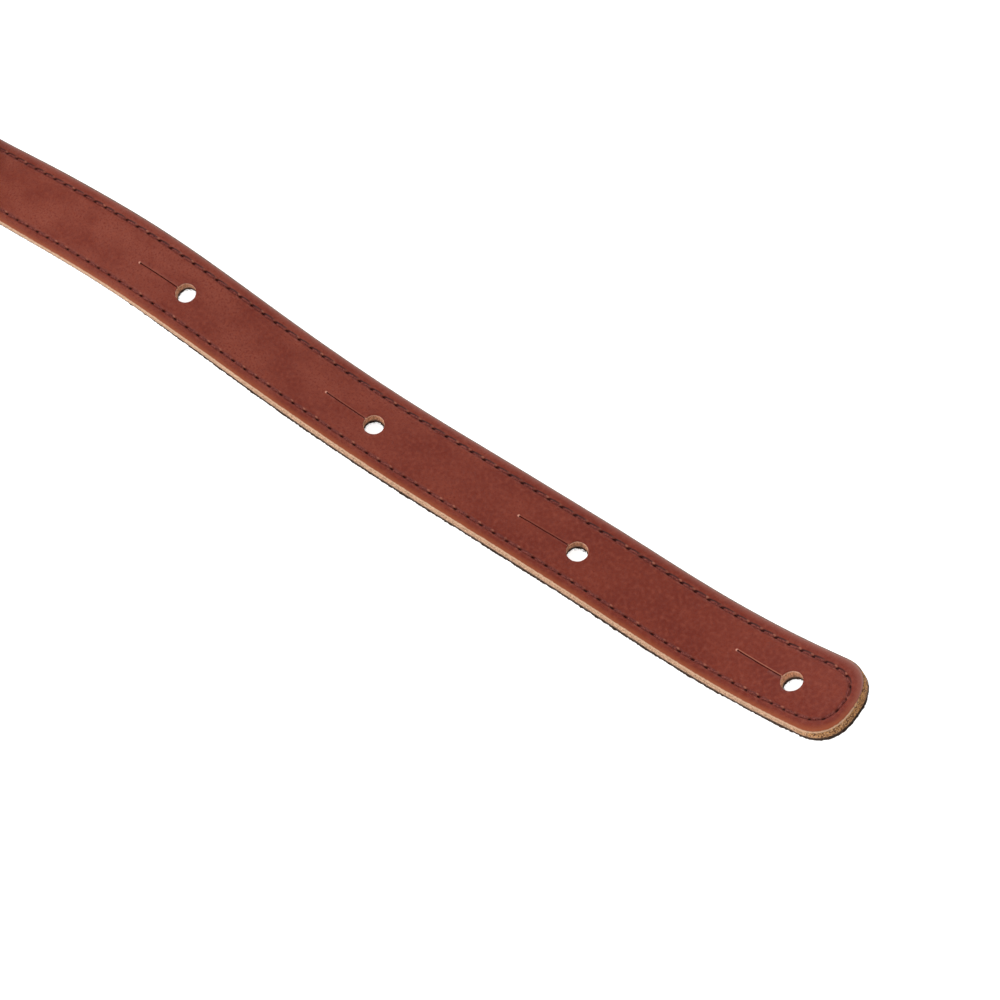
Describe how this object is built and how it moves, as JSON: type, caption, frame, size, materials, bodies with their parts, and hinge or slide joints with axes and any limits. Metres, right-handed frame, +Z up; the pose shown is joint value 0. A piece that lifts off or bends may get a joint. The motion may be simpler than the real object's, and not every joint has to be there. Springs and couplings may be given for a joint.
{
  "type": "guitar strap",
  "caption": "One-piece stitched leather guitar strap with a suede backing, slit button holes at its tail and one at its front end, laid out tail first with the rest rolled up.",
  "frame": {"origin": "on the surface the strap lies on, under the middle of its box", "axes": "+X along the strap towards its tail tip, +Y across it, +Z up"},
  "size_m": [0.4854, 0.064, 0.1128],
  "materials": {
    "grain_leather": "satin, reddish brown grain with pale tan cut edges",
    "suede": "matt nap, very dark brown",
    "thread": "matt bonded thread, dark purplish brown"
  },
  "bodies": {
    "root": {"leather_strap": "grain_leather", "suede_backing": "suede", "needle_thread": "thread", "bobbin_thread": "thread"}
  },
  "joints": []
}
